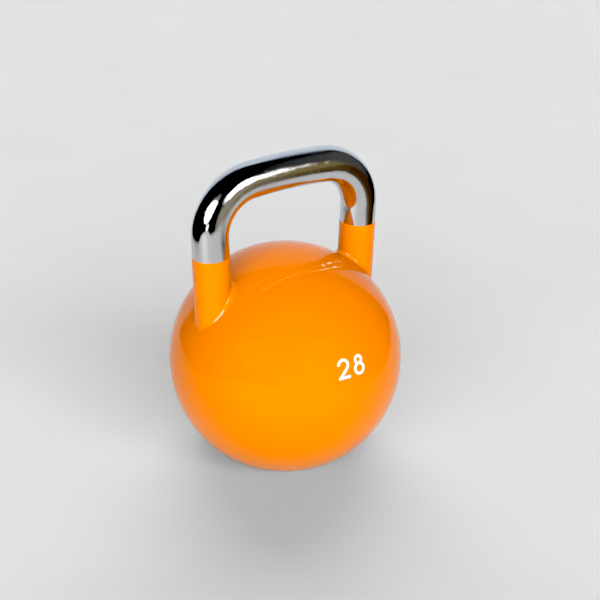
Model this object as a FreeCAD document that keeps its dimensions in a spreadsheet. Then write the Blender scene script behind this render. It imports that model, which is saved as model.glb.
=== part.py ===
import FreeCAD, Part

import math
import os

import Sketcher

# A competition kettlebell, 280 mm tall: a hollow steel ball on a flat foot, two painted horns, a
# bent chrome-plated grip bar held in the horns by its tangs, a ballast of steel shot set in resin,
# and a screw plug in the foot. +Z is up, +X runs along the grip, and the origin is the middle of
# the foot's resting face. All sizes are millimetres.

# How close a measured distance has to be to count as equal.
NEAR = 0.01

DIMENSIONS = (
    ("ball_radius", 105.0, "outside of the ball"),
    ("ball_height", 85.3, "ball centre above the resting face"),
    ("wall", 6.0, "thickness of the pressed steel shells"),
    ("foot_thickness", 8.0, "steel left above the resting face"),
    ("foot_edge", 8.0, "rounding between foot and ball"),
    ("weld_root", 1.0, "half width of the equator weld inside"),
    ("weld_face", 3.0, "half width of the equator weld outside"),
    ("backing_half", 10.0, "half height of the ring behind the weld"),
    ("backing_depth", 3.5, "thickness of that ring"),
    ("bar_radius", 16.2, "grip bar and horns"),
    ("leg_half_span", 77.6, "leg axis from the middle, at the joint with the grip"),
    ("leg_lean", 1.96, "degrees that each leg leans outwards"),
    ("joint_height", 201.5, "joint between horn and grip, above the resting face"),
    ("grip_height", 263.8, "middle of the grip bar's axis"),
    ("corner_radius", 43.7, "axis radius of the grip's corners"),
    ("crown_radius", 470.0, "axis radius of the slightly crowned top"),
    ("blend_inner", 3.0, "horn blend radius on the side facing the window"),
    ("blend_outer", 8.0, "horn blend radius on the outer side"),
    ("spigot_radius", 15.0, "horn where it passes through the shell"),
    ("spigot_depth", 84.0, "horn length below the joint"),
    ("leg_depth", 67.0, "full-width leg below the joint, hidden in the ball at its end"),
    ("tang_radius", 10.0, "grip bar's turned-down ends"),
    ("tang_depth", 92.0, "tang length below the joint"),
    ("weld_leg", 4.0, "size of the inner fillet welds"),
    ("weld_gap", 0.5, "how far a bead's thin end stands off the tube"),
    ("fill_height", 176.0, "level of the ballast above the resting face"),
    ("bush_radius", 20.0, "outside of the filler bush"),
    ("bush_bottom", 0.5, "bush above the resting face"),
    ("bush_top", 24.0, "inner end of the bush"),
    ("seat_radius", 16.0, "counterbore for the plug's flange"),
    ("seat_height", 6.8, "sealing seat above the resting face"),
    ("thread_radius", 12.0, "threaded bore of the bush"),
    ("thread_play", 0.05, "radial play between plug and bush"),
    ("plug_bottom", 2.0, "outer face of the plug above the resting face"),
    ("flange_radius", 15.2, "plug flange"),
    ("flange_top", 6.0, "underside of the plug's flange"),
    ("plug_top", 20.0, "inner end of the plug"),
    ("plug_chamfer", 1.2, "lead-in of the plug's thread"),
    ("socket_width", 14.0, "hexagon socket across its flats"),
    ("socket_depth", 9.0, "depth of the hexagon socket"),
    ("seal_thickness", 0.5, "fibre washer under the flange"),
    ("mark_rise", 17.5, "degrees that the weight mark stands above the equator"),
    ("mark_height", 18.0, "height of the numerals"),
    ("mark_width", 11.6, "width of one numeral"),
    ("mark_stroke", 2.6, "stroke of the numerals"),
    ("mark_gap", 4.2, "space between the numerals"),
    ("mark_neck", -38.0, "degrees at which the numeral 2 leaves its bowl"),
    ("mark_film", 0.12, "thickness of the printed film"),
    ("overrun", 1.0, "how far a cutting shape runs past what it cuts"),
)


def new_sheet(doc):
    """The driving dimensions, one row each: words in column A, the number in column B."""
    sheet = doc.addObject("Spreadsheet::Sheet", "Dims")
    for row, (alias, value, words) in enumerate(DIMENSIONS, start=1):
        sheet.set(f"A{row}", words)
        sheet.set(f"B{row}", str(value))
        sheet.setAlias(f"B{row}", alias)
    doc.recompute()
    return sheet


def make(doc, kind, name, **expressions):
    """Adds a primitive whose properties follow the sheet."""
    item = doc.addObject(kind, name)
    for key, expression in expressions.items():
        item.setExpression(key, expression)
    return item


def combine(doc, kind, name, base, tool):
    """Part::Cut, Part::Fuse or Part::Common of two objects."""
    item = doc.addObject(kind, name)
    item.Base = base
    item.Tool = tool
    return item


def fuse_all(doc, name, shapes):
    item = doc.addObject("Part::MultiFuse", name)
    item.Shapes = shapes
    return item


def mirrored(doc, name, source):
    """The same piece on the other leg, at -X."""
    item = doc.addObject("Part::Mirroring", name)
    item.Source = source
    item.Normal = FreeCAD.Vector(1, 0, 0)
    return item


def labelled(item, label):
    item.Label = label
    return item


def raise_to(item, expression):
    item.setExpression("Placement.Base.z", expression)
    return item


def lay_on_leg(item, along):
    """Stands a primitive on the right leg's axis, starting at 'along' from the horn joint."""
    item.Placement = FreeCAD.Placement(
        FreeCAD.Vector(), FreeCAD.Rotation(FreeCAD.Vector(0, 1, 0), 1.0)
    )
    item.setExpression("Placement.Rotation.Angle", "Dims.leg_lean")
    item.setExpression("Placement.Base.x", f"Dims.leg_half_span + ({along}) * sin(Dims.leg_lean)")
    item.setExpression("Placement.Base.z", f"Dims.joint_height + ({along}) * cos(Dims.leg_lean)")
    return item


def leg_rod(doc, name, radius, start, length):
    rod = make(doc, "Part::Cylinder", name, Radius=radius, Height=length)
    return lay_on_leg(rod, start)


def upright(doc, name, radius, low, high):
    """A vertical cylinder on the ball's axis, from one height to another."""
    rod = make(doc, "Part::Cylinder", name, Radius=radius, Height=f"{high} - {low}")
    return raise_to(rod, low)


def ball(doc, name, radius, floor):
    """A ball about the bell's centre, cut flat at the height 'floor'."""
    item = make(
        doc,
        "Part::Sphere",
        name,
        Radius=radius,
        Angle1=f"-asin((Dims.ball_height - {floor}) / ({radius}))",
    )
    return raise_to(item, "Dims.ball_height")


def whole_ball(doc, name, radius):
    item = make(doc, "Part::Sphere", name, Radius=radius)
    return raise_to(item, "Dims.ball_height")


def edges_where(shape, test):
    """Numbers of the edges whose middle point passes the test."""
    found = []
    for number, edge in enumerate(shape.Edges, start=1):
        middle = edge.valueAt((edge.FirstParameter + edge.LastParameter) / 2)
        if test(middle):
            found.append(number)
    return found


def origin_plane(body, role):
    for feature in body.Origin.OriginFeatures:
        if feature.Role == role:
            return feature
    raise ValueError(role)


def new_sketch(body, name, role):
    sketch = body.newObject("Sketcher::SketchObject", name)
    sketch.AttachmentSupport = [(origin_plane(body, role), "")]
    sketch.MapMode = "FlatFace"
    return sketch


def drive(sketch, constraint, name, expression):
    """Adds a named dimension to a sketch and ties it to the sheet."""
    number = sketch.addConstraint(constraint)
    sketch.renameConstraint(number, name)
    sketch.setExpression(f"Constraints.{name}", expression)


def weld_cone(doc, name, up):
    """The space on one side of the equator weld's bevel: a wide flat cone opening away from it."""
    reach = "Dims.ball_radius + Dims.wall"
    slope = "(Dims.wall / (Dims.weld_face - Dims.weld_root))"
    cone = make(
        doc,
        "Part::Cone",
        name,
        Radius1="Dims.ball_radius - Dims.wall",
        Radius2=f"Dims.ball_radius - Dims.wall + ({reach}) * {slope}",
        Height=reach,
    )
    if not up:
        cone.Placement.Rotation = FreeCAD.Rotation(FreeCAD.Vector(1, 0, 0), 180)
    sign = "+" if up else "-"
    return raise_to(cone, f"Dims.ball_height {sign} Dims.weld_root")


def shells(doc, sheet):
    """The two pressed shells and the weld that joins them at the equator."""
    inner_radius = "Dims.ball_radius - Dims.wall"
    outside = ball(doc, "BallOutside", "Dims.ball_radius", "0")
    doc.recompute()
    rounded = doc.addObject("Part::Fillet", "BallRounded")
    rounded.Base = outside
    on_foot = edges_where(outside.Shape, lambda p: abs(p.z) < NEAR and p.Length > NEAR)
    rounded.Edges = [(n, sheet.foot_edge, sheet.foot_edge) for n in on_foot]
    cavity = ball(doc, "Cavity", inner_radius, "Dims.foot_thickness")
    skin = combine(doc, "Part::Cut", "Skin", rounded, cavity)
    above = weld_cone(doc, "AboveWeld", True)
    below = weld_cone(doc, "BelowWeld", False)
    dome = combine(doc, "Part::Common", "Dome", skin, above)
    bowl = combine(doc, "Part::Common", "Bowl", skin, below)
    beads = combine(doc, "Part::Cut", "NotAbove", skin, above)
    weld = combine(doc, "Part::Cut", "EquatorWeld", beads, below)
    right_hole = leg_rod(
        doc, "HornHole", "Dims.spigot_radius", "-Dims.spigot_depth", "Dims.spigot_depth"
    )
    left_hole = mirrored(doc, "LeftHornHole", right_hole)
    holes = fuse_all(doc, "HornHoles", [right_hole, left_hole])
    upper = combine(doc, "Part::Cut", "UpperShell", dome, holes)
    bush_hole = upright(doc, "BushHole", "Dims.bush_radius", "-Dims.wall", "Dims.bush_top")
    lower = combine(doc, "Part::Cut", "LowerShell", bowl, bush_hole)
    return [
        labelled(upper, "upper_shell"),
        labelled(lower, "lower_shell"),
        labelled(weld, "equator_weld"),
    ]


def backing_ring(doc):
    """The band behind the equator weld, curved to the shells outside and straight inside."""
    low = "(Dims.ball_height - Dims.backing_half)"
    high = "(Dims.ball_height + Dims.backing_half)"
    cavity = whole_ball(doc, "BackingBall", "Dims.ball_radius - Dims.wall")
    slab = upright(doc, "BackingSlab", "Dims.ball_radius", low, high)
    bore = upright(
        doc,
        "BackingBore",
        "Dims.ball_radius - Dims.wall - Dims.backing_depth",
        f"({low} - Dims.overrun)",
        f"({high} + Dims.overrun)",
    )
    disc = combine(doc, "Part::Common", "BackingDisc", cavity, slab)
    return labelled(combine(doc, "Part::Cut", "BackingRing", disc, bore), "backing_ring")


def horns(doc, sheet):
    """The painted legs: a bored stub with a spigot through the shell, blended into the ball."""
    globe = whole_ball(doc, "HornBall", "Dims.ball_radius")
    leg = leg_rod(doc, "Leg", "Dims.bar_radius", "-Dims.leg_depth", "Dims.leg_depth")
    joined = combine(doc, "Part::Fuse", "LegOnBall", globe, leg)
    doc.recompute()
    blended = doc.addObject("Part::Fillet", "LegBlended")
    blended.Base = joined
    centre = FreeCAD.Vector(0, 0, sheet.ball_height)
    lean = math.radians(sheet.leg_lean)
    axis = FreeCAD.Vector(math.sin(lean), 0, math.cos(lean))
    joint = FreeCAD.Vector(sheet.leg_half_span, 0, sheet.joint_height)

    def on_both(point):
        off_ball = abs((point - centre).Length - sheet.ball_radius)
        off_leg = abs((point - joint).cross(axis).Length - sheet.bar_radius)
        return off_ball < NEAR and off_leg < NEAR

    blends = []
    for number in edges_where(joined.Shape, on_both):
        edge = joined.Shape.Edges[number - 1]
        start = edge.valueAt(edge.FirstParameter)
        end = edge.valueAt(edge.LastParameter)
        radii = [sheet.blend_inner, sheet.blend_outer]
        if start.x > end.x:
            radii.reverse()
        blends.append((number, radii[0], radii[1]))
    blended.Edges = blends
    flare = combine(doc, "Part::Cut", "Flare", blended, globe)
    spigot = leg_rod(
        doc, "Spigot", "Dims.spigot_radius", "-Dims.spigot_depth", "Dims.leg_depth"
    )
    stub = combine(doc, "Part::Fuse", "HornStub", flare, spigot)
    bore = leg_rod(
        doc,
        "HornBore",
        "Dims.tang_radius",
        "-Dims.spigot_depth - Dims.overrun",
        "Dims.spigot_depth + 2 * Dims.overrun",
    )
    right = combine(doc, "Part::Cut", "RightHorn", stub, bore)
    left = mirrored(doc, "LeftHorn", right)
    return [labelled(left, "left_horn"), labelled(right, "right_horn")]


def grip_path(body, sheet):
    """Half of the bar's axis in the XZ plane: crowned top, corner bend, straight leg."""
    path = new_sketch(body, "GripPath", "XZ_Plane")
    lean = math.radians(sheet.leg_lean)
    corner = sheet.corner_radius
    crown = sheet.crown_radius
    foot = FreeCAD.Vector(sheet.leg_half_span, sheet.joint_height, 0)
    up = FreeCAD.Vector(math.sin(lean), math.cos(lean), 0)
    inward = FreeCAD.Vector(-math.cos(lean), math.sin(lean), 0)
    crown_centre = FreeCAD.Vector(0, sheet.grip_height - crown, 0)
    # The corner's centre lies one radius inside the leg and 'crown - corner' from the crown's.
    offset = foot + inward * corner - crown_centre
    along = -offset.dot(up)
    rise = along + math.sqrt(along**2 - offset.Length**2 + (crown - corner) ** 2)
    corner_centre = crown_centre + offset + up * rise
    leg_top = foot + up * rise
    outward = corner_centre - crown_centre
    bend_top = math.atan2(outward.y, outward.x)
    normal = FreeCAD.Vector(0, 0, 1)
    crown_arc = Part.ArcOfCircle(Part.Circle(crown_centre, normal, crown), bend_top, math.pi / 2)
    corner_arc = Part.ArcOfCircle(Part.Circle(corner_centre, normal, corner), -lean, bend_top)
    top = path.addGeometry(crown_arc)
    bend = path.addGeometry(corner_arc)
    leg = path.addGeometry(Part.LineSegment(foot, leg_top))
    start, end, middle, origin, z_axis = 1, 2, 3, -1, -2
    path.addConstraint(Sketcher.Constraint("Tangent", top, start, bend, end))
    path.addConstraint(Sketcher.Constraint("Tangent", bend, start, leg, end))
    path.addConstraint(Sketcher.Constraint("PointOnObject", top, end, z_axis))
    path.addConstraint(Sketcher.Constraint("PointOnObject", top, middle, z_axis))
    height = Sketcher.Constraint("DistanceY", origin, 1, top, end, sheet.grip_height)
    drive(path, height, "grip_height", "Dims.grip_height")
    drive(path, Sketcher.Constraint("Radius", top, crown), "crown", "Dims.crown_radius")
    drive(path, Sketcher.Constraint("Radius", bend, corner), "corner", "Dims.corner_radius")
    span = Sketcher.Constraint("DistanceX", origin, 1, leg, start, foot.x)
    drive(path, span, "half_span", "Dims.leg_half_span")
    level = Sketcher.Constraint("DistanceY", origin, 1, leg, start, foot.y)
    drive(path, level, "joint_height", "Dims.joint_height")
    drive(path, Sketcher.Constraint("Angle", leg, z_axis, lean), "lean", "Dims.leg_lean")
    return path


def grip_bar(doc, sheet):
    """The chrome-plated bar, bent in one piece, with a tang at each end."""
    body = doc.addObject("PartDesign::Body", "GripBody")
    path = grip_path(body, sheet)
    section = new_sketch(body, "GripSection", "YZ_Plane")
    centre = FreeCAD.Vector(0, sheet.grip_height, 0)
    ring = section.addGeometry(
        Part.Circle(centre, FreeCAD.Vector(0, 0, 1), sheet.bar_radius)
    )
    section.addConstraint(Sketcher.Constraint("PointOnObject", ring, 3, -2))
    height = Sketcher.Constraint("DistanceY", -1, 1, ring, 3, sheet.grip_height)
    drive(section, height, "height", "Dims.grip_height")
    drive(section, Sketcher.Constraint("Radius", ring, sheet.bar_radius), "size", "Dims.bar_radius")
    doc.recompute()
    pipe = body.newObject("PartDesign::AdditivePipe", "GripHalf")
    pipe.Profile = section
    pipe.Spine = path
    doc.recompute()
    pair = body.newObject("PartDesign::Mirrored", "GripWhole")
    pair.Originals = [pipe]
    pair.MirrorPlane = (origin_plane(body, "YZ_Plane"), [""])
    body.Tip = pair
    right = leg_rod(
        doc, "Tang", "Dims.tang_radius", "-Dims.tang_depth", "Dims.tang_depth + Dims.tang_radius"
    )
    left = mirrored(doc, "LeftTang", right)
    return labelled(fuse_all(doc, "GripBar", [body, right, left]), "grip_bar")


def horn_welds(doc):
    """Inside the ball, a bead of even thickness where each horn's spigot meets the shell."""
    reach = "Dims.spigot_radius + Dims.weld_leg"
    outer = whole_ball(doc, "BeadOuter", "Dims.ball_radius - Dims.wall")
    inner = whole_ball(doc, "BeadInner", "Dims.ball_radius - Dims.wall - Dims.weld_leg")
    layer = combine(doc, "Part::Cut", "BeadLayer", outer, inner)
    disc = leg_rod(doc, "BeadDisc", reach, "-Dims.spigot_depth", "Dims.spigot_depth")
    band = combine(doc, "Part::Common", "BeadBand", layer, disc)
    spigot = leg_rod(
        doc,
        "BeadBore",
        "Dims.spigot_radius",
        "-Dims.spigot_depth - Dims.overrun",
        "Dims.spigot_depth + Dims.overrun",
    )
    right = combine(doc, "Part::Cut", "RightHornWeld", band, spigot)
    left = mirrored(doc, "LeftHornWeld", right)
    return [labelled(left, "left_horn_weld"), labelled(right, "right_horn_weld")]


def tang_welds(doc):
    """The fillet weld round each tang where it comes out of the horn's spigot."""
    bead = make(
        doc,
        "Part::Cone",
        "TangBead",
        Radius1="Dims.tang_radius + Dims.weld_gap",
        Radius2="Dims.tang_radius + Dims.weld_leg",
        Height="Dims.weld_leg",
    )
    lay_on_leg(bead, "-Dims.spigot_depth - Dims.weld_leg")
    tang = leg_rod(
        doc, "TangBeadBore", "Dims.tang_radius", "-Dims.tang_depth", "Dims.tang_depth"
    )
    right = combine(doc, "Part::Cut", "RightTangWeld", bead, tang)
    left = mirrored(doc, "LeftTangWeld", right)
    return [labelled(left, "left_tang_weld"), labelled(right, "right_tang_weld")]


def filler_bush(doc):
    """A threaded boss in the foot, with a counterbore that hides the plug's flange."""
    outside = upright(doc, "BushOutside", "Dims.bush_radius", "Dims.bush_bottom", "Dims.bush_top")
    below = "-Dims.overrun"
    above = "(Dims.bush_top + Dims.overrun)"
    seat = upright(doc, "BushSeat", "Dims.seat_radius", below, "Dims.seat_height")
    thread = upright(doc, "BushThread", "Dims.thread_radius", below, above)
    bore = combine(doc, "Part::Fuse", "BushBore", seat, thread)
    return labelled(combine(doc, "Part::Cut", "FillerBush", outside, bore), "filler_bush")


def bush_weld(doc):
    """The fillet weld between the bush and the inside of the foot."""
    bead = make(
        doc,
        "Part::Cone",
        "BushBead",
        Radius1="Dims.bush_radius + Dims.weld_leg",
        Radius2="Dims.bush_radius + Dims.weld_gap",
        Height="Dims.weld_leg",
    )
    raise_to(bead, "Dims.foot_thickness")
    bore = upright(doc, "BushBeadBore", "Dims.bush_radius", "0", "Dims.bush_top")
    return labelled(combine(doc, "Part::Cut", "BushWeld", bead, bore), "bush_weld")


def filler_plug(doc, sheet):
    """The screw plug: a turned flange and shank, a lead-in chamfer and a hexagon socket."""
    body = doc.addObject("PartDesign::Body", "FillerPlug")
    flange_circle = round_sketch(body, "FlangeCircle", sheet.flange_radius, "Dims.flange_radius")
    flange = body.newObject("PartDesign::Pad", "Flange")
    flange.Profile = flange_circle
    flange.setExpression("Length", "Dims.flange_top - Dims.plug_bottom")
    shank_radius = "Dims.thread_radius - Dims.thread_play"
    shank_circle = round_sketch(
        body, "ShankCircle", sheet.thread_radius - sheet.thread_play, shank_radius
    )
    shank = body.newObject("PartDesign::Pad", "Shank")
    shank.Profile = shank_circle
    shank.setExpression("Length", "Dims.plug_top - Dims.plug_bottom")
    doc.recompute()
    before_socket = shank.Shape.Volume
    hexagon = new_sketch(body, "SocketOutline", "XY_Plane")
    across = sheet.socket_width / math.sqrt(3)
    corners = [
        FreeCAD.Vector(across * math.cos(k * math.pi / 3), across * math.sin(k * math.pi / 3), 0)
        for k in range(6)
    ]
    sides = [
        hexagon.addGeometry(Part.LineSegment(corners[k], corners[(k + 1) % 6])) for k in range(6)
    ]
    rim = hexagon.addGeometry(
        Part.Circle(FreeCAD.Vector(), FreeCAD.Vector(0, 0, 1), across), True
    )
    hexagon.addConstraint(Sketcher.Constraint("Coincident", rim, 3, -1, 1))
    for k in range(6):
        following = sides[(k + 1) % 6]
        hexagon.addConstraint(Sketcher.Constraint("Coincident", sides[k], 2, following, 1))
        hexagon.addConstraint(Sketcher.Constraint("PointOnObject", sides[k], 1, rim))
    for side in sides[1:]:
        hexagon.addConstraint(Sketcher.Constraint("Equal", sides[0], side))
    hexagon.addConstraint(Sketcher.Constraint("PointOnObject", sides[0], 1, -1))
    radius = Sketcher.Constraint("Radius", rim, across)
    drive(hexagon, radius, "corner_radius", "Dims.socket_width / sqrt(3)")
    socket = body.newObject("PartDesign::Pocket", "Socket")
    socket.Profile = hexagon
    socket.Reversed = True
    socket.setExpression("Length", "Dims.socket_depth")
    doc.recompute()
    if socket.Shape.Volume > before_socket - NEAR:
        raise ValueError("the plug's socket cut nothing")
    top = sheet.plug_top - sheet.plug_bottom
    ends = edges_where(socket.Shape, lambda p: abs(p.z - top) < NEAR)
    chamfer = body.newObject("PartDesign::Chamfer", "LeadIn")
    chamfer.Base = (socket, [f"Edge{n}" for n in ends])
    chamfer.setExpression("Size", "Dims.plug_chamfer")
    body.Tip = chamfer
    body.setExpression("Placement.Base.z", "Dims.plug_bottom")
    return labelled(body, "filler_plug")


def round_sketch(body, name, radius, expression):
    """A circle about the body's own Z axis."""
    sketch = new_sketch(body, name, "XY_Plane")
    ring = sketch.addGeometry(Part.Circle(FreeCAD.Vector(), FreeCAD.Vector(0, 0, 1), radius))
    sketch.addConstraint(Sketcher.Constraint("Coincident", ring, 3, -1, 1))
    drive(sketch, Sketcher.Constraint("Radius", ring, radius), "radius", expression)
    return sketch


def plug_seal(doc):
    """The fibre washer between the plug's flange and the seat in the bush."""
    high = "(Dims.flange_top + Dims.seal_thickness)"
    disc = upright(doc, "SealDisc", "Dims.flange_radius", "Dims.flange_top", high)
    hole = upright(doc, "SealHole", "Dims.thread_radius", "0", "Dims.bush_top")
    return labelled(combine(doc, "Part::Cut", "PlugSeal", disc, hole), "plug_seal")


def ballast(doc, inner_pieces):
    """Steel shot set in resin: the cavity up to the fill level, less all that stands in it."""
    cavity = ball(
        doc, "BallastCavity", "Dims.ball_radius - Dims.wall", "Dims.foot_thickness"
    )
    level = upright(doc, "BallastLevel", "Dims.ball_radius", "0", "Dims.fill_height")
    filled = combine(doc, "Part::Common", "BallastFilled", cavity, level)
    bush = upright(doc, "BallastBush", "Dims.bush_radius", "0", "Dims.bush_top")
    spigot = leg_rod(
        doc, "BallastSpigot", "Dims.spigot_radius", "-Dims.spigot_depth", "Dims.spigot_depth"
    )
    tang = leg_rod(doc, "BallastTang", "Dims.tang_radius", "-Dims.tang_depth", "Dims.tang_depth")
    rods = [bush, spigot, mirrored(doc, "BallastSpigotLeft", spigot)]
    rods += [tang, mirrored(doc, "BallastTangLeft", tang)]
    inside = fuse_all(doc, "BallastInside", rods + inner_pieces)
    return labelled(combine(doc, "Part::Cut", "ShotBallast", filled, inside), "shot_ballast")


def ring_sector(outer, inner, depth, centre, low, high):
    """A flat ring, or the part of it between two angles, that runs along Y."""
    away = FreeCAD.Vector(0, -1, 0)
    solid = Part.makeCylinder(outer, depth, centre, away)
    solid = solid.cut(Part.makeCylinder(inner, depth, centre, away))
    if high - low >= 360:
        return solid
    reach = outer * 2
    points = [centre]
    steps = 8
    for k in range(steps + 1):
        angle = math.radians(low + (high - low) * k / steps)
        points.append(centre + FreeCAD.Vector(math.cos(angle), 0, math.sin(angle)) * reach)
    points.append(centre)
    wedge = Part.Face(Part.makePolygon(points)).extrude(away * depth)
    return solid.common(wedge)


def stroke(start, end, width, depth):
    """A straight stroke with square ends, from one point to another, that runs along Y."""
    run = end - start
    side = FreeCAD.Vector(-run.z, 0, run.x).normalize() * (width / 2)
    corners = [start + side, end + side, end - side, start - side, start + side]
    return Part.Face(Part.makePolygon(corners)).extrude(FreeCAD.Vector(0, -depth, 0))


def numeral_two(sheet, middle, depth):
    tall, wide, pen = sheet.mark_height, sheet.mark_width, sheet.mark_stroke
    bowl = wide / 2
    low = middle.z - tall / 2
    centre = FreeCAD.Vector(middle.x, 0, middle.z + tall / 2 - bowl)
    hook = ring_sector(bowl, bowl - pen, depth, centre, sheet.mark_neck, 180)
    turn = math.radians(sheet.mark_neck)
    pen_middle = bowl - pen / 2
    neck = centre + FreeCAD.Vector(math.cos(turn), 0, math.sin(turn)) * pen_middle
    heel = FreeCAD.Vector(middle.x - bowl + pen / 2, 0, low + pen / 2)
    toe = FreeCAD.Vector(middle.x + bowl, 0, low + pen / 2)
    heel_edge = FreeCAD.Vector(middle.x - bowl, 0, low + pen / 2)
    slant = stroke(neck, heel, pen, depth)
    base = stroke(heel_edge, toe, pen, depth)
    return hook.fuse([slant, base])


def numeral_eight(sheet, middle, depth):
    tall, wide, pen = sheet.mark_height, sheet.mark_width, sheet.mark_stroke
    lower_bowl = wide / 2
    upper_bowl = (tall + pen) / 2 - lower_bowl
    low = middle.z - tall / 2
    lower_centre = FreeCAD.Vector(middle.x, 0, low + lower_bowl)
    upper_centre = FreeCAD.Vector(middle.x, 0, low + tall - upper_bowl)
    lower_ring = ring_sector(lower_bowl, lower_bowl - pen, depth, lower_centre, 0, 360)
    upper_ring = ring_sector(upper_bowl, upper_bowl - pen, depth, upper_centre, 0, 360)
    return lower_ring.fuse(upper_ring)


def weight_mark(doc, sheet):
    """The mass in kilograms, two plain numerals printed as a thin film on the ball's front."""
    radius = sheet.ball_radius
    depth = radius * 2
    step = (sheet.mark_width + sheet.mark_gap) / 2
    two = numeral_two(sheet, FreeCAD.Vector(-step, 0, 0), depth)
    eight = numeral_eight(sheet, FreeCAD.Vector(step, 0, 0), depth)
    numerals = Part.makeCompound([two, eight])
    numerals.rotate(FreeCAD.Vector(), FreeCAD.Vector(1, 0, 0), -sheet.mark_rise)
    film = Part.makeSphere(radius + sheet.mark_film).cut(Part.makeSphere(radius))
    printed = film.common(numerals)
    mark = doc.addObject("Part::Feature", "WeightMark")
    mark.Shape = printed
    mark.setExpression("Placement.Base.z", "Dims.ball_height")
    return labelled(mark, "weight_mark")


def check(doc, nodes):
    """Stops if anything in the document failed or a node isn't made of good solids."""
    for item in doc.Objects:
        if "Invalid" in item.State or "Error" in item.State:
            raise ValueError(f"{item.Name} failed: {item.State}")
    for node in nodes:
        shape = node.Shape
        if shape.isNull() or not shape.isValid() or not shape.Solids:
            raise ValueError(f"{node.Label} isn't a good solid")
        solids = len(shape.Solids)
        print(f"{node.Label}: {solids} solid(s), {shape.Volume / 1000:.2f} cm3")


def main():
    doc = FreeCAD.newDocument("Kettlebell")
    sheet = new_sheet(doc)
    nodes = shells(doc, sheet)
    ring = backing_ring(doc)
    horn_beads = horn_welds(doc)
    tang_beads = tang_welds(doc)
    bush_bead = bush_weld(doc)
    nodes += horns(doc, sheet)
    nodes += [grip_bar(doc, sheet), ring, filler_bush(doc), bush_bead]
    nodes += horn_beads + tang_beads
    nodes.append(ballast(doc, [ring, bush_bead] + horn_beads + tang_beads))
    nodes += [filler_plug(doc, sheet), plug_seal(doc), weight_mark(doc, sheet)]
    doc.recompute()
    check(doc, nodes)
    os.makedirs("parts", exist_ok=True)
    for node in nodes:
        node.Shape.exportStep(f"parts/{node.Label}.step")


main()
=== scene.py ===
import math

import bmesh
import bpy
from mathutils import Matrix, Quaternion, Vector


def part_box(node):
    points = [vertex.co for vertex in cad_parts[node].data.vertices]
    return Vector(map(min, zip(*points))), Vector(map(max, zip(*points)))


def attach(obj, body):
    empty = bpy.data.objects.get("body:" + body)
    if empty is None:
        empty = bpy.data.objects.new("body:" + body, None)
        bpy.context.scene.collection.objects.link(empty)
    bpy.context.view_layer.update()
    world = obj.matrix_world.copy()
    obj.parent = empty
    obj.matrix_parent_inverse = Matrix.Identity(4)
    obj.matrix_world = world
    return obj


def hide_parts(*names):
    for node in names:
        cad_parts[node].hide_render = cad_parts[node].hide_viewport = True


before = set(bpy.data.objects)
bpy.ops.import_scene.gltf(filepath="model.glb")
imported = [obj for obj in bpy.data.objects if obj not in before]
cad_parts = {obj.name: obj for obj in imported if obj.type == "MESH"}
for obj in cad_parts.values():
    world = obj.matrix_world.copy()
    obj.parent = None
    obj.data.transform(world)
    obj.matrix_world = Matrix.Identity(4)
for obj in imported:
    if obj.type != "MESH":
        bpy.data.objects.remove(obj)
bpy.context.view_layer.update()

# Lengths are metres. Angles are radians, unless a name ends in deg.
MM = 0.001
Y_AXIS = Vector((0, 1, 0))
WELD_LOW, WELD_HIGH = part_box("equator_weld")
BAR_LOW, BAR_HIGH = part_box("grip_bar")
BUSH_LOW, BUSH_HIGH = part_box("filler_bush")

BALL_RADIUS = (WELD_HIGH.y - WELD_LOW.y) / 2
BALL_CENTRE = Vector((0, 0, (WELD_LOW.z + WELD_HIGH.z) / 2))
WALL = 6 * MM
INNER_RADIUS = BALL_RADIUS - WALL
# The bush's weld sits on the inner face of the foot.
FOOT_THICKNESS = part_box("bush_weld")[0].z
FOOT_EDGE = 8 * MM
BUSH_RADIUS = (BUSH_HIGH.x - BUSH_LOW.x) / 2
# Half the equator weld's width, at the inside of the ball and at its outside.
WELD_ROOT = 1 * MM
WELD_FACE = (WELD_HIGH.z - WELD_LOW.z) / 2

BAR_RADIUS = (BAR_HIGH.y - BAR_LOW.y) / 2
# The legs spread by this angle towards the top. The axes are the right leg's.
LEAN = math.radians(1.96)
LEG_AXIS = Vector((math.sin(LEAN), 0, math.cos(LEAN)))
LEG_OUTWARD = Vector((math.cos(LEAN), 0, -math.sin(LEAN)))
# The joint is where the bar's axis meets the horn's top face. That face is square to the leaning
# leg, so its highest corner stands above its middle.
JOINT_OUT = 77.6 * MM
JOINT = Vector((JOINT_OUT, 0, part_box("right_horn")[1].z - BAR_RADIUS * math.sin(LEAN)))
# The bar's axis: its height in the middle, the radius of its bends and that of its crowned top.
GRIP_TOP = BAR_HIGH.z - BAR_RADIUS
CORNER_RADIUS = 43.7 * MM
CROWN_RADIUS = 470 * MM
# The blend between horn and ball, on the side towards the window and on the outer side.
BLEND_INNER = 3 * MM
BLEND_OUTER = 8 * MM
TANG_RADIUS = 10 * MM
TANG_DEPTH = 92 * MM
SPIGOT_RADIUS = 15 * MM
SPIGOT_DEPTH = 84 * MM
# The paint stands this far out from the chrome, with its edge rounded.
PAINT_LIP = 0.12 * MM
LIP_ROUND = 0.35 * MM


# ---- mesh tools ---------------------------------------------------------------------------------

# Faces that meet at more than this angle meet in a sharp edge.
SHARP_DEG = 32
# A point of a lathe profile this near the axis is a pole.
POLE_RADIUS = 1e-7
# A corner is on the ball's outside if it is this near that surface, and its face looks outwards:
# the cosine between the face and the ball's own direction there is above FACING.
ON_BALL = 0.02 * MM
FACING = 0.98


def add_object(name, data):
    """Puts a new object in the scene."""
    made = bpy.data.objects.new(name, data)
    bpy.context.scene.collection.objects.link(made)
    return made


def add_piece(name, mesh, node):
    """Puts a finished mesh in the scene as part of the bell, in place of the CAD node named."""
    piece = add_object(name, mesh)
    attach(piece, "bell")
    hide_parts(node)
    return piece


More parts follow.
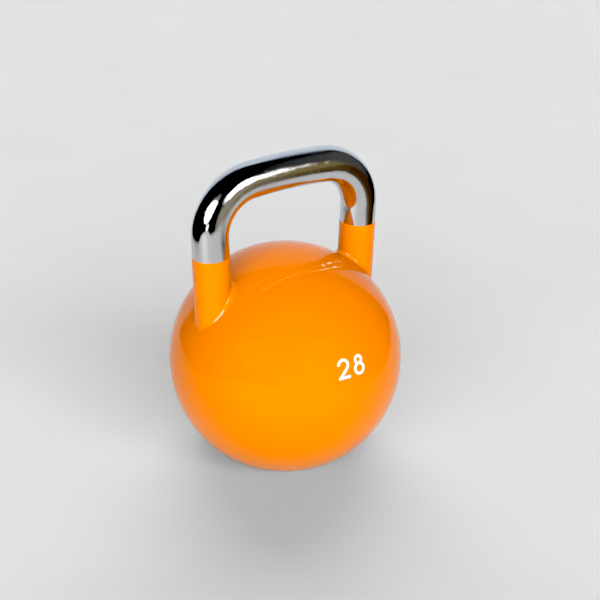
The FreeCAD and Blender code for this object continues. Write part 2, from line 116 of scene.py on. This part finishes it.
def grid_mesh(name, rows, close_rows=False):
    """A mesh from rows of points that run round an axis. A row of one point is a pole. With
    close_rows, the last row joins the first."""
    mesh = bpy.data.meshes.new(name)
    work = bmesh.new()
    made = [[work.verts.new(p) for p in row] for row in rows]
    pairs = list(zip(made, made[1:]))
    if close_rows:
        pairs.append((made[-1], made[0]))
    for upper, lower in pairs:
        count = max(len(upper), len(lower))
        for k in range(count):
            following = (k + 1) % count
            if len(upper) == 1:
                corners = (upper[0], lower[k], lower[following])
            elif len(lower) == 1:
                corners = (upper[k], lower[0], upper[following])
            else:
                corners = (upper[k], lower[k], lower[following], upper[following])
            work.faces.new(corners)
    bmesh.ops.recalc_face_normals(work, faces=work.faces)
    work.to_mesh(mesh)
    work.free()
    return mesh


def smooth(mesh):
    """Smooth shading, with the sharp edges kept."""
    mesh.polygons.foreach_set("use_smooth", [True] * len(mesh.polygons))
    mesh.set_sharp_from_angle(angle=math.radians(SHARP_DEG))


def follow_ball(mesh):
    """Gives every corner that lies on the ball's outside the ball's own normal, so that the
    painted pieces shade as one surface across their joints. A normal of zero changes nothing."""
    normals = []
    for face in mesh.polygons:
        outwards = (face.center - BALL_CENTRE).normalized()
        outside = face.normal.dot(outwards) > FACING
        for index in face.vertices:
            away = mesh.vertices[index].co - BALL_CENTRE
            on_ball = outside and abs(away.length - BALL_RADIUS) < ON_BALL
            normals.append(away.normalized() if on_ball else Vector((0, 0, 0)))
    mesh.normals_split_custom_set(normals)


def ring(radius, height, count):
    """Points round the Z axis."""
    turn = 2 * math.pi / count
    return [
        Vector((radius * math.cos(k * turn), radius * math.sin(k * turn), height))
        for k in range(count)
    ]


def arc_points(centre, radius, start, end, steps):
    """Points along an arc in the plane of a profile."""
    points = []
    for k in range(steps + 1):
        angle = start + (end - start) * k / steps
        points.append((centre[0] + radius * math.cos(angle), centre[1] + radius * math.sin(angle)))
    return points


# ---- the ball -----------------------------------------------------------------------------------

# How many steps there are round the ball, and along each arc of its profiles.
BALL_STEPS = 288
DOME_STEPS = 96
DOME_INNER_STEPS = 48
WELD_STEPS = 6
WELD_INNER_STEPS = 2
BOWL_STEPS = 60
BOWL_INNER_STEPS = 30
FOOT_EDGE_STEPS = 10
FOOT_FLAT_STEPS = 6
# The middle of the ball in the plane of a profile: (radius, height).
PROFILE_CENTRE = (0.0, BALL_CENTRE.z)
# The horns and the holes for them have the same steps round them. The rods that cut the holes are
# a little longer than the spigots.
HORN_STEPS = 144
HORN_ANGLES = [2 * math.pi * k / HORN_STEPS for k in range(HORN_STEPS)]
CUTTER_DEPTH = SPIGOT_DEPTH * 1.1


def lathe(name, profile, closed=True):
    """A mesh from a profile of (radius, height) turned round the Z axis. A profile that starts and
    ends on the axis isn't closed."""
    rows = []
    for radius, height in profile:
        if radius < POLE_RADIUS:
            rows.append([Vector((0, 0, height))])
        else:
            rows.append(ring(radius, height, BALL_STEPS))
    return grid_mesh(name, rows, close_rows=closed)


def ball_angle(radius, rise):
    """The angle above the equator at which a circle of that radius has risen that far."""
    return math.asin(rise / radius)


def round_leg(angle):
    """The direction square to the right leg, at an angle round it from its outer side."""
    return LEG_OUTWARD * math.cos(angle) + Y_AXIS * math.sin(angle)


def leg_point(side, out, angle, along):
    """A point out from the leg's axis and along it from the joint. side is 1 for the right leg and
    -1 for the left."""
    point = JOINT + LEG_AXIS * along + round_leg(angle) * out
    return Vector((point.x * side, point.y, point.z))


def spigot_cutters():
    """A rod on each leg's axis, as wide as the horn's spigot."""
    rods = []
    for side in (1, -1):
        rows = [[leg_point(side, 0, 0, -CUTTER_DEPTH)]]
        for along in (-CUTTER_DEPTH, 0.0):
            rows.append([leg_point(side, SPIGOT_RADIUS, angle, along) for angle in HORN_ANGLES])
        rows.append([leg_point(side, 0, 0, 0.0)])
        rods.append(add_object("cutter", grid_mesh("cutter", rows)))
    return rods


def bored(mesh, cutters):
    """The mesh with the horn holes cut through it."""
    blank = add_object("blank", mesh)
    for rod in cutters:
        cut = blank.modifiers.new("hole", "BOOLEAN")
        cut.object = rod
        cut.operation = "DIFFERENCE"
        cut.solver = "EXACT"
    graph = bpy.context.evaluated_depsgraph_get()
    result = bpy.data.meshes.new_from_object(blank.evaluated_get(graph))
    for item in [blank, *cutters]:
        bpy.data.objects.remove(item)
    return result


def upper_shell():
    """The dome, with the holes for the horns' spigots."""
    outer_low = ball_angle(BALL_RADIUS, WELD_FACE)
    inner_low = ball_angle(INNER_RADIUS, WELD_ROOT)
    pole = math.pi / 2
    profile = arc_points(PROFILE_CENTRE, BALL_RADIUS, pole, outer_low, DOME_STEPS)
    profile += arc_points(PROFILE_CENTRE, INNER_RADIUS, inner_low, pole, DOME_INNER_STEPS)
    mesh = bored(lathe("uncut_dome", profile, closed=False), spigot_cutters())
    mesh.name = "painted_dome"
    smooth(mesh)
    follow_ball(mesh)
    return add_piece("painted_dome", mesh, "upper_shell")


def weld_band():
    """The weld between the two shells, dressed flush with them."""
    face = ball_angle(BALL_RADIUS, WELD_FACE)
    root = ball_angle(INNER_RADIUS, WELD_ROOT)
    profile = arc_points(PROFILE_CENTRE, BALL_RADIUS, face, -face, WELD_STEPS)
    profile += arc_points(PROFILE_CENTRE, INNER_RADIUS, -root, root, WELD_INNER_STEPS)
    mesh = lathe("painted_weld", profile)
    smooth(mesh)
    follow_ball(mesh)
    return add_piece("painted_weld", mesh, "equator_weld")


def lower_shell():
    """The bowl, its rounded foot edge, the resting face and the hole for the filler bush."""
    outer_high = -ball_angle(BALL_RADIUS, WELD_FACE)
    inner_high = -ball_angle(INNER_RADIUS, WELD_ROOT)
    inner_low = -ball_angle(INNER_RADIUS, BALL_CENTRE.z - FOOT_THICKNESS)
    drop = BALL_CENTRE.z - FOOT_EDGE
    flat = math.sqrt((BALL_RADIUS - FOOT_EDGE) ** 2 - drop**2)
    outer_low = -math.atan2(drop, flat)
    profile = arc_points(PROFILE_CENTRE, BALL_RADIUS, outer_high, outer_low, BOWL_STEPS)
    edge = arc_points((flat, FOOT_EDGE), FOOT_EDGE, outer_low, -math.pi / 2, FOOT_EDGE_STEPS)
    profile += edge[1:]
    for k in range(1, FOOT_FLAT_STEPS + 1):
        profile.append((flat + (BUSH_RADIUS - flat) * k / FOOT_FLAT_STEPS, 0.0))
    profile.append((BUSH_RADIUS, FOOT_THICKNESS))
    profile += arc_points(PROFILE_CENTRE, INNER_RADIUS, inner_low, inner_high, BOWL_INNER_STEPS)
    mesh = lathe("painted_bowl", profile)
    smooth(mesh)
    follow_ball(mesh)
    return add_piece("painted_bowl", mesh, "lower_shell")


# ---- the horns ----------------------------------------------------------------------------------

# How many steps there are along each stretch of a horn's profile.
LIP_STEPS = 4
HORN_LEG_STEPS = 16
BLEND_STEPS = 20
UNDER_STEPS = 4
# Under the blend's foot the horn's surface lies this far below the ball's.
UNDER_BALL = 0.03 * MM


def horn_profile(angle):
    """Points (out, along) in the half plane through the leg's axis at one angle round it: down the
    painted leg, round the blend, over the ball under the blend's foot, down the spigot and back up
    the bore. The ball cuts that half plane in a circle."""
    outward = round_leg(angle)
    to_ball = BALL_CENTRE - JOINT
    middle = Vector((to_ball.dot(outward), to_ball.dot(LEG_AXIS)))
    aside = to_ball.dot(LEG_AXIS.cross(outward))
    circle = math.sqrt(BALL_RADIUS**2 - aside**2)
    outer_share = (1 + math.cos(angle)) / 2
    blend = BLEND_INNER + (BLEND_OUTER - BLEND_INNER) * outer_share
    wall = BAR_RADIUS + PAINT_LIP
    reach = wall + blend - middle.x
    blend_centre = Vector((wall + blend, middle.y + math.sqrt((circle + blend) ** 2 - reach**2)))
    to_middle = middle - blend_centre
    blend_end = math.atan2(to_middle.y, to_middle.x) % (2 * math.pi)

    lip_centre = (wall - LIP_ROUND, -LIP_ROUND)
    points = [(TANG_RADIUS, 0.0)]
    points += arc_points(lip_centre, LIP_ROUND, math.pi / 2, 0.0, LIP_STEPS)
    for k in range(1, HORN_LEG_STEPS):
        share = k / HORN_LEG_STEPS
        points.append((wall, -LIP_ROUND + (blend_centre.y + LIP_ROUND) * share))
    points += arc_points(blend_centre, blend, math.pi, blend_end, BLEND_STEPS)
    foot = Vector(points[-1])
    under = circle - UNDER_BALL
    foot_turn = math.atan2(foot.y - middle.y, foot.x - middle.x)
    spigot_turn = math.acos((SPIGOT_RADIUS - middle.x) / under)
    points += arc_points(middle, under, foot_turn, spigot_turn, UNDER_STEPS)[1:]
    points.append((SPIGOT_RADIUS, -SPIGOT_DEPTH))
    points.append((TANG_RADIUS, -SPIGOT_DEPTH))
    return points


def horn(side, name, node):
    """A painted horn, with its bore for the grip's tang."""
    columns = []
    for angle in HORN_ANGLES:
        profile = horn_profile(angle)
        columns.append([leg_point(side, out, angle, along) for out, along in profile])
    rows = list(zip(*columns))
    mesh = grid_mesh(name, rows, close_rows=True)
    smooth(mesh)
    follow_ball(mesh)
    return add_piece(name, mesh, node)


# ---- the grip bar -------------------------------------------------------------------------------

# How many steps there are round the bar, and along each stretch of half of it.
BAR_STEPS = 128
CROWN_STEPS = 24
CORNER_STEPS = 64
BAR_LEG_STEPS = 12


def bend(centre, radius, start, end, steps):
    """Stations (point, heading) along a clockwise bend of the bar's axis."""
    stations = []
    for k in range(steps + 1):
        turn = start + (end - start) * k / steps
        point = centre + Vector((math.cos(turn), 0, math.sin(turn))) * radius
        stations.append((point, Vector((math.sin(turn), 0, -math.cos(turn)))))
    return stations


def grip_half():
    """Stations along half of the bar's axis, from the middle of the top to the joint. The corner's
    arc touches the crown's arc and the leg's line."""
    crown_centre = Vector((0, 0, GRIP_TOP - CROWN_RADIUS))
    offset = JOINT - LEG_OUTWARD * CORNER_RADIUS - crown_centre
    along = -offset.dot(LEG_AXIS)
    gap = CROWN_RADIUS - CORNER_RADIUS
    rise = along + math.sqrt(along**2 - offset.length_squared + gap**2)
    corner_centre = crown_centre + offset + LEG_AXIS * rise
    away = corner_centre - crown_centre
    bend_top = math.atan2(away.z, away.x)
    stations = bend(crown_centre, CROWN_RADIUS, math.pi / 2, bend_top, CROWN_STEPS)
    stations += bend(corner_centre, CORNER_RADIUS, bend_top, -LEAN, CORNER_STEPS)[1:]
    leg_top = stations[-1][0]
    for k in range(1, BAR_LEG_STEPS + 1):
        stations.append((leg_top.lerp(JOINT, k / BAR_LEG_STEPS), -LEG_AXIS))
    return stations


def grip_bar():
    """The bent bar with its turned-down tangs, from the left tang's end to the right one's."""
    tang_end = JOINT - LEG_AXIS * TANG_DEPTH
    right = [(point, heading, BAR_RADIUS) for point, heading in grip_half()]
    right += [(JOINT, -LEG_AXIS, TANG_RADIUS), (tang_end, -LEG_AXIS, TANG_RADIUS)]
    left = []
    for p, h, radius in reversed(right[1:]):
        left.append((Vector((-p.x, p.y, p.z)), Vector((h.x, h.y, -h.z)), radius))
    rows = [[left[0][0]]]
    for point, heading, radius in left + right:
        side = heading.cross(Y_AXIS).normalized()
        row = []
        for k in range(BAR_STEPS):
            angle = 2 * math.pi * k / BAR_STEPS
            row.append(
                point + Y_AXIS * (radius * math.cos(angle)) + side * (radius * math.sin(angle))
            )
        rows.append(row)
    rows.append([tang_end])
    mesh = grid_mesh("chrome_grip", rows)
    smooth(mesh)
    return add_piece("chrome_grip", mesh, "grip_bar")


# ---- camera -------------------------------------------------------------------------------------

# The camera fitted to the photo: where it stands as seen from the ball, and what it looks at.
AZIMUTH_DEG = -34.39
ELEVATION_DEG = 26.67
ROLL_DEG = 0.757
CAMERA_DISTANCE = 1.356
AIM = BALL_CENTRE + Vector((22.6, 10.0, 46.2)) * MM
# Millimetres, as Blender wants them.
LENS = 89.37
SENSOR = 36.0


def direction(azimuth_deg, elevation_deg):
    """Azimuths run from the front, which is -Y, towards +X."""
    azimuth = math.radians(azimuth_deg)
    elevation = math.radians(elevation_deg)
    level = math.cos(elevation)
    return Vector((math.sin(azimuth) * level, -math.cos(azimuth) * level, math.sin(elevation)))


def add_camera():
    camera = add_object("camera", bpy.data.cameras.new("camera"))
    camera.data.lens = LENS
    camera.data.sensor_width = SENSOR
    camera.location = BALL_CENTRE + direction(AZIMUTH_DEG, ELEVATION_DEG) * CAMERA_DISTANCE
    look = (AIM - camera.location).to_track_quat("-Z", "Y")
    camera.rotation_mode = "QUATERNION"
    camera.rotation_quaternion = look @ Quaternion((0, 0, 1), math.radians(ROLL_DEG))
    bpy.context.scene.camera = camera


# ---- materials ----------------------------------------------------------------------------------


class Nodes:
    """A short way to write the node tree of a material or a world. An input is a value, or another
    node's output to link to."""

    def __init__(self, owner):
        self.owner = owner
        owner.use_nodes = True
        self.tree = owner.node_tree
        self.tree.nodes.clear()

    def feed(self, socket, value):
        if isinstance(value, bpy.types.NodeSocket):
            self.tree.links.new(value, socket)
        else:
            socket.default_value = value

    def node(self, kind, inputs=None, **settings):
        made = self.tree.nodes.new(kind)
        for key, value in settings.items():
            setattr(made, key, value)
        for key, value in (inputs or {}).items():
            self.feed(made.inputs[key], value)
        return made

    def position(self):
        return self.node("ShaderNodeTexCoord").outputs["Object"]

    def noise(self, scale, detail=3.0, roughness=0.5):
        """Noise fixed to the piece, with about scale lumps to the metre."""
        inputs = {
            "Vector": self.position(),
            "Scale": scale,
            "Detail": detail,
            "Roughness": roughness,
        }
        return self.node("ShaderNodeTexNoise", inputs).outputs["Fac"]

    def remap(self, value, low, high, new_low=0.0, new_high=1.0):
        inputs = {
            "Value": value,
            "From Min": low,
            "From Max": high,
            "To Min": new_low,
            "To Max": new_high,
        }
        return self.node("ShaderNodeMapRange", inputs).outputs["Result"]

    def math(self, operation, first, second):
        return self.node("ShaderNodeMath", {0: first, 1: second}, operation=operation).outputs[0]

    def blend(self, factor, first, second):
        """One colour over another. The mix node has sockets of the same name for each data type,
        and only the colours' own are enabled."""
        inputs = {"Factor": factor, "A": first, "B": second}
        made = self.node("ShaderNodeMix", data_type="RGBA")
        for socket in made.inputs:
            if socket.enabled and socket.name in inputs:
                self.feed(socket, inputs[socket.name])
        return next(out for out in made.outputs if out.enabled)

    def mix(self, factor, first, second):
        """One shader over another."""
        return self.node("ShaderNodeMixShader", {0: factor, 1: first, 2: second}).outputs[0]

    def bump(self, height, distance, strength, normal=None):
        inputs = {"Height": height, "Distance": distance, "Strength": strength}
        if normal is not None:
            inputs["Normal"] = normal
        return self.node("ShaderNodeBump", inputs).outputs["Normal"]

    def finish(self, cover=None, **inputs):
        """Ends a material. cover is how solid it is, where it isn't solid all over."""
        surface = self.node("ShaderNodeBsdfPrincipled", inputs_named(inputs)).outputs["BSDF"]
        if cover is not None:
            clear = self.node("ShaderNodeBsdfTransparent").outputs["BSDF"]
            surface = self.mix(cover, clear, surface)
        self.node("ShaderNodeOutputMaterial", {"Surface": surface})
        return self.owner


def inputs_named(words):
    """base_color becomes Base Color, and so on."""
    return {k.replace("_", " ").title().replace("Ior", "IOR"): v for k, v in words.items()}


def material_nodes(name):
    return Nodes(bpy.data.materials.new(name))


ORANGE = (0.95, 0.245, 0.0, 1.0)
ORANGE_DEEP = (0.93, 0.235, 0.0, 1.0)
CHROME = (0.65, 0.655, 0.665, 1.0)
INK = (0.93, 0.93, 0.92, 1.0)
INK_WORN = (0.84, 0.84, 0.82, 1.0)
BARE_STEEL = (0.42, 0.42, 0.43, 1.0)
WELD_METAL = (0.33, 0.32, 0.31, 1.0)
PLUG_STEEL = (0.2, 0.2, 0.21, 1.0)
SHOT_STEEL = (0.32, 0.32, 0.33, 1.0)
SHOT_RESIN = (0.05, 0.045, 0.04, 1.0)
FIBRE = (0.36, 0.06, 0.03, 1.0)
FIBRE_FLECK = (0.24, 0.04, 0.02, 1.0)
PALE = (0.88, 0.88, 0.88, 1.0)
PALE_SHADE = (0.86, 0.86, 0.86, 1.0)
# How much of its colour steel keeps where the scale is darkest.
SCALE_SHADE = 0.6
# The chrome's pits are deepest above BEND_HIGH, and almost nothing below BEND_LOW.
BEND_LOW = GRIP_TOP - 2.0 * BAR_RADIUS
BEND_HIGH = GRIP_TOP - 0.3 * BAR_RADIUS


def orange_paint():
    """Sprayed gloss enamel: an orange-peel skin over faint waves, uneven in shade and gloss."""
    n = material_nodes("orange_paint")
    clouds = n.noise(14.0, detail=4.0, roughness=0.55)
    peel = n.noise(420.0, detail=2.0, roughness=0.4)
    waves = n.noise(60.0, detail=2.0, roughness=0.4)
    skin = n.bump(waves, 0.04 * MM, strength=0.5)
    skin = n.bump(peel, 0.012 * MM, strength=0.6, normal=skin)
    return n.finish(
        base_color=n.blend(n.remap(clouds, 0.3, 0.7), ORANGE, ORANGE_DEEP),
        roughness=n.remap(n.noise(35.0, detail=4.0, roughness=0.6), 0.3, 0.7, 0.26, 0.36),
        normal=skin,
        specular_ior_level=0.0,
        coat_weight=1.0,
        coat_roughness=0.05,
        coat_ior=1.33,
        coat_normal=skin,
    )


def polished_chrome():
    """Bright plating over a polished bar: faint waves, and small pits where hands hold it."""
    n = material_nodes("polished_chrome")
    waves = n.noise(38.0, detail=2.0, roughness=0.4)
    pits = n.noise(800.0, detail=3.0, roughness=0.6)
    height = n.node("ShaderNodeSeparateXYZ", {"Vector": n.position()}).outputs["Z"]
    held = n.remap(height, BEND_LOW, BEND_HIGH, 0.04, 0.5)
    patches = n.remap(n.noise(30.0, detail=3.0, roughness=0.6), 0.35, 0.65, 0.3, 1.6)
    pitted = n.math("MULTIPLY", pits, n.math("MULTIPLY", held, patches))
    skin = n.bump(waves, 0.06 * MM, strength=0.5)
    return n.finish(
        base_color=CHROME,
        metallic=1.0,
        roughness=n.remap(n.noise(120.0, detail=4.0, roughness=0.6), 0.35, 0.75, 0.02, 0.06),
        normal=n.bump(pitted, 0.3 * MM, strength=1.0, normal=skin),
    )


def white_ink():
    """Printed ink, with a fine grain."""
    n = material_nodes("white_ink")
    grain = n.noise(900.0, detail=3.0, roughness=0.6)
    return n.finish(
        base_color=n.blend(n.remap(grain, 0.3, 0.8), INK, INK_WORN),
        roughness=0.45,
        normal=n.bump(grain, 0.01 * MM, strength=0.5),
    )


def plain_steel(name, colour, smoothest, roughest):
    """Bare steel inside the bell: mill scale in its colour and roughness."""
    n = material_nodes(name)
    scale = n.noise(90.0, detail=5.0, roughness=0.65)
    darker = (*(c * SCALE_SHADE for c in colour[:3]), 1.0)
    return n.finish(
        base_color=n.blend(n.remap(scale, 0.3, 0.7), colour, darker),
        metallic=1.0,
        roughness=n.remap(scale, 0.3, 0.7, smoothest, roughest),
        normal=n.bump(scale, 0.05 * MM, strength=0.6),
    )


def bonded_shot():
    """Steel shot of about 3 mm, set in dark resin."""
    n = material_nodes("bonded_shot")
    cells = n.node("ShaderNodeTexVoronoi", {"Vector": n.position(), "Scale": 330.0})
    shot = n.remap(cells.outputs["Distance"], 0.35, 0.6, 1.0, 0.0)
    return n.finish(
        base_color=n.blend(shot, SHOT_RESIN, SHOT_STEEL),
        metallic=shot,
        roughness=n.remap(n.noise(500.0), 0.3, 0.7, 0.3, 0.5),
        normal=n.bump(shot, 0.6 * MM, strength=0.8),
    )


def red_fibre():
    """Pressed vulcanised fibre, with short flecks."""
    n = material_nodes("red_fibre")
    flecks = n.noise(700.0, detail=4.0, roughness=0.7)
    return n.finish(
        base_color=n.blend(n.remap(flecks, 0.35, 0.65), FIBRE, FIBRE_FLECK),
        roughness=0.7,
        normal=n.bump(flecks, 0.04 * MM, strength=0.7),
    )


def pale_ground(name, fades):
    """The matt ground under the bell. Where it fades, each point's cover says how solid it is."""
    n = material_nodes(name)
    tone = n.noise(6.0, detail=3.0, roughness=0.5)
    cover = None
    if fades:
        cover = n.node("ShaderNodeAttribute", attribute_name="cover").outputs["Fac"]
    return n.finish(
        cover=cover,
        base_color=n.blend(n.remap(tone, 0.3, 0.7), PALE, PALE_SHADE),
        roughness=0.5,
    )


def dress(piece, material):
    piece.data.materials.clear()
    piece.data.materials.append(material)


def dress_inside():
    """Gives the CAD nodes inside the ball and in its foot their materials."""
    bare = plain_steel("bare_steel", BARE_STEEL, 0.35, 0.5)
    bead = plain_steel("weld_metal", WELD_METAL, 0.4, 0.6)
    plug = plain_steel("plug_steel", PLUG_STEEL, 0.3, 0.45)
    looks = {
        "backing_ring": bare,
        "filler_bush": bare,
        "bush_weld": bead,
        "left_horn_weld": bead,
        "right_horn_weld": bead,
        "left_tang_weld": bead,
        "right_tang_weld": bead,
        "shot_ballast": bonded_shot(),
        "filler_plug": plug,
        "plug_seal": red_fibre(),
    }
    for name, look in looks.items():
        dress(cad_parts[name], look)


# ---- floor --------------------------------------------------------------------------------------

FLOOR_RADIUS = 14.0
FLOOR_STEPS = 96
# The floor lies just under the reflected table, so that neither shades the other.
FLOOR_HEIGHT = -0.5 * MM
# Where the reflected table ends, all round the bell: azimuth in degrees and distance.
TABLE_EDGE = (
    (-180, 4.0), (-160, 0.9), (-135, 0.74), (-100, 0.74), (-85, 1.6), (-70, 3.0), (-50, 3.0),
    (-38, 1.4), (-10, 1.15), (10, 0.95), (25, 0.7), (45, 0.52), (65, 0.55), (85, 0.8), (102, 1.2),
    (112, 4.0), (145, 4.0),
)
# The table starts to fade at this share of the way out to its edge.
TABLE_FADE = 0.7


def add_ground(name, rings, material):
    """A flat ground from rings of points, the outermost last, each with how solid it is there."""
    mesh = bpy.data.meshes.new(name)
    work = bmesh.new()
    cover = work.verts.layers.float.new("cover")
    made = []
    for points, solid in rings:
        made.append([work.verts.new(p) for p in points])
        for vertex in made[-1]:
            vertex[cover] = solid
    work.faces.new(made[0])
    for inner, outer in zip(made, made[1:]):
        for k in range(len(inner)):
            following = (k + 1) % len(inner)
            work.faces.new((inner[k], outer[k], outer[following], inner[following]))
    work.to_mesh(mesh)
    work.free()
    ground = add_object(name, mesh)
    dress(ground, material)
    return ground


def add_floor():
    """The pale floor that the camera sees, and the table top with soft edges that the bell
    reflects in its place."""
    around = ring(FLOOR_RADIUS, FLOOR_HEIGHT, FLOOR_STEPS)
    floor = add_ground("floor", [(around, 1.0)], pale_ground("pale_floor", fades=False))
    floor.visible_glossy = False
    edge = [direction(azimuth_deg, 0) * distance for azimuth_deg, distance in TABLE_EDGE]
    rings = [([p * TABLE_FADE for p in edge], 1.0), (edge, 0.0)]
    table = add_ground("table", rings, pale_ground("pale_table", fades=True))
    table.visible_camera = False
    table.visible_diffuse = False
    table.visible_shadow = False
    return [table, floor]


# ---- lights -------------------------------------------------------------------------------------

LAMP_DISTANCE = 2.2
# Where the lamps stand: azimuth and elevation in degrees.
LEFT = (-67, 24)
FRONT = (9, 28)
BACK = (146, 28)
CAMERA_SIDE = (-30, 18)
LOW = (-57, 3)
# How wide and how high a lamp looks from the bell, in degrees.
LEFT_SIZE = (36, 28)
FRONT_SIZE = (38, 17)
LOW_SIZE = (13, 9)
LEFT_GLINT_SIZE = (50, 28)
# What the bell reflects of the room past the table: azimuth, elevation, reach in degrees, the
# share of that reach that is fully bright, colour.
ROOM_SPOTS = (
    (34, 3, 30, 0.6, (0.32, 0.25, 0.11)),
    (8, 0, 24, 0.6, (0.38, 0.35, 0.27)),
    (70, 25, 36, 0.6, (0.11, 0.11, 0.11)),
    (50, -12, 20, 0.6, (0.09, 0.05, 0.03)),
    (150, 12, 47, 0.9, (0.74, 0.82, 0.92)),
)
ROOM_DARK = (0.01, 0.01, 0.01, 1.0)
PAST_FLOOR = (0.75, 0.75, 0.75, 1.0)
# The photo's blacks are clipped a little above zero.
BLACK_LEVEL = 0.024


def aim_lamp(name, light, place):
    """Puts a lamp at an azimuth and elevation, facing the ball. The camera doesn't see it."""
    lamp = add_object(name, light)
    away = direction(*place)
    lamp.location = BALL_CENTRE + away * LAMP_DISTANCE
    lamp.rotation_mode = "QUATERNION"
    lamp.rotation_quaternion = away.to_track_quat("Z", "Y")
    lamp.visible_camera = False
    return lamp


def across(angle_deg):
    """How wide a lamp has to be to look that wide from the ball."""
    return 2 * LAMP_DISTANCE * math.tan(math.radians(angle_deg) / 2)


def soft_box(name, place, size_deg, radiance, pieces):
    """An oval lamp that is only a reflection, and only on the pieces given."""
    light = bpy.data.lights.new(name, "AREA")
    light.shape = "ELLIPSE"
    light.size = across(size_deg[0])
    light.size_y = across(size_deg[1])
    area = math.pi / 4 * light.size * light.size_y
    light.energy = radiance * math.pi * area
    lamp = aim_lamp(name, light, place)
    lamp.visible_diffuse = False
    receivers = bpy.data.collections.new(name + "_receivers")
    for piece in pieces:
        receivers.objects.link(piece)
    lamp.light_linking.receiver_collection = receivers


def soft_sun(name, place, width_deg, level):
    """An even soft light that makes no reflection. level is the brightness of a white surface
    that faces it."""
    light = bpy.data.lights.new(name, "SUN")
    light.angle = math.radians(width_deg)
    light.energy = level * math.pi
    aim_lamp(name, light, place).visible_glossy = False


def add_lights(ball, horns, grip, floor):
    """The left and the front lamp are each a soft light on everything and, apart from that, a
    reflection on each set of pieces, as strong there as in the photo. The gloss on the table is
    seen only in the chrome. The other two suns only fill the shadows."""
    soft_box("left_box", LEFT, LEFT_SIZE, radiance=8.0, pieces=grip)
    soft_box("front_box", FRONT, FRONT_SIZE, radiance=8.0, pieces=grip)
    soft_box("low_box", LOW, LOW_SIZE, radiance=2.0, pieces=grip)
    soft_box("left_table", LEFT, LEFT_SIZE, radiance=6.5, pieces=floor)
    soft_box("left_glint", LEFT, LEFT_GLINT_SIZE, radiance=20.0, pieces=horns)
    soft_box("front_glint", FRONT, FRONT_SIZE, radiance=20.0, pieces=horns)
    soft_box("left_sheen", LEFT, LEFT_SIZE, radiance=0.45, pieces=ball)
    soft_box("front_sheen", FRONT, FRONT_SIZE, radiance=0.45, pieces=ball)
    soft_sun("left_fill", LEFT, width_deg=30, level=0.225)
    soft_sun("front_fill", FRONT, width_deg=30, level=0.34)
    soft_sun("back_fill", BACK, width_deg=60, level=0.65)
    soft_sun("camera_fill", CAMERA_SIDE, width_deg=50, level=0.90)


def add_world():
    """A dark room round the table, which the bell reflects, and a pale view past the floor."""
    world = bpy.data.worlds.new("studio")
    bpy.context.scene.world = world
    n = Nodes(world)
    where = n.node("ShaderNodeTexCoord").outputs["Generated"]
    colour = ROOM_DARK
    for azimuth_deg, elevation_deg, reach_deg, bright_share, spot in ROOM_SPOTS:
        toward = direction(azimuth_deg, elevation_deg)
        near = n.node("ShaderNodeVectorMath", {0: where, 1: toward}, operation="DOT_PRODUCT")
        outer = math.cos(math.radians(reach_deg))
        inner = math.cos(math.radians(reach_deg * bright_share))
        share = n.remap(near.outputs["Value"], outer, inner)
        colour = n.blend(share, colour, (*spot, 1.0))
    paths = n.node("ShaderNodeLightPath")
    reflected = n.node("ShaderNodeBackground", {"Color": colour}).outputs[0]
    dark = n.node("ShaderNodeBackground", {"Color": ROOM_DARK}).outputs[0]
    seen = n.node("ShaderNodeBackground", {"Color": PAST_FLOOR}).outputs[0]
    unseen = n.mix(paths.outputs["Is Glossy Ray"], dark, reflected)
    whole = n.mix(paths.outputs["Is Camera Ray"], unseen, seen)
    n.node("ShaderNodeOutputWorld", {"Surface": whole})


def set_view():
    """Plain colours, with the blacks clipped as in the photo."""
    view = bpy.context.scene.view_settings
    view.view_transform = "Standard"
    view.use_curve_mapping = True
    view.curve_mapping.black_level = (BLACK_LEVEL,) * 3
    view.curve_mapping.update()


# ---- the scene ----------------------------------------------------------------------------------

ball = [upper_shell(), weld_band(), lower_shell()]
horns = [horn(1, "painted_horn_right", "right_horn"), horn(-1, "painted_horn_left", "left_horn")]
grip = grip_bar()
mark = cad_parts["weight_mark"]
paint = orange_paint()
for piece in ball + horns:
    dress(piece, paint)
    # The lit paint would tint the pale floor, which the photo doesn't show.
    piece.visible_diffuse = False
dress(grip, polished_chrome())
dress(mark, white_ink())
dress_inside()
add_camera()
add_lights([*ball, mark], horns, [grip], add_floor())
add_world()
set_view()
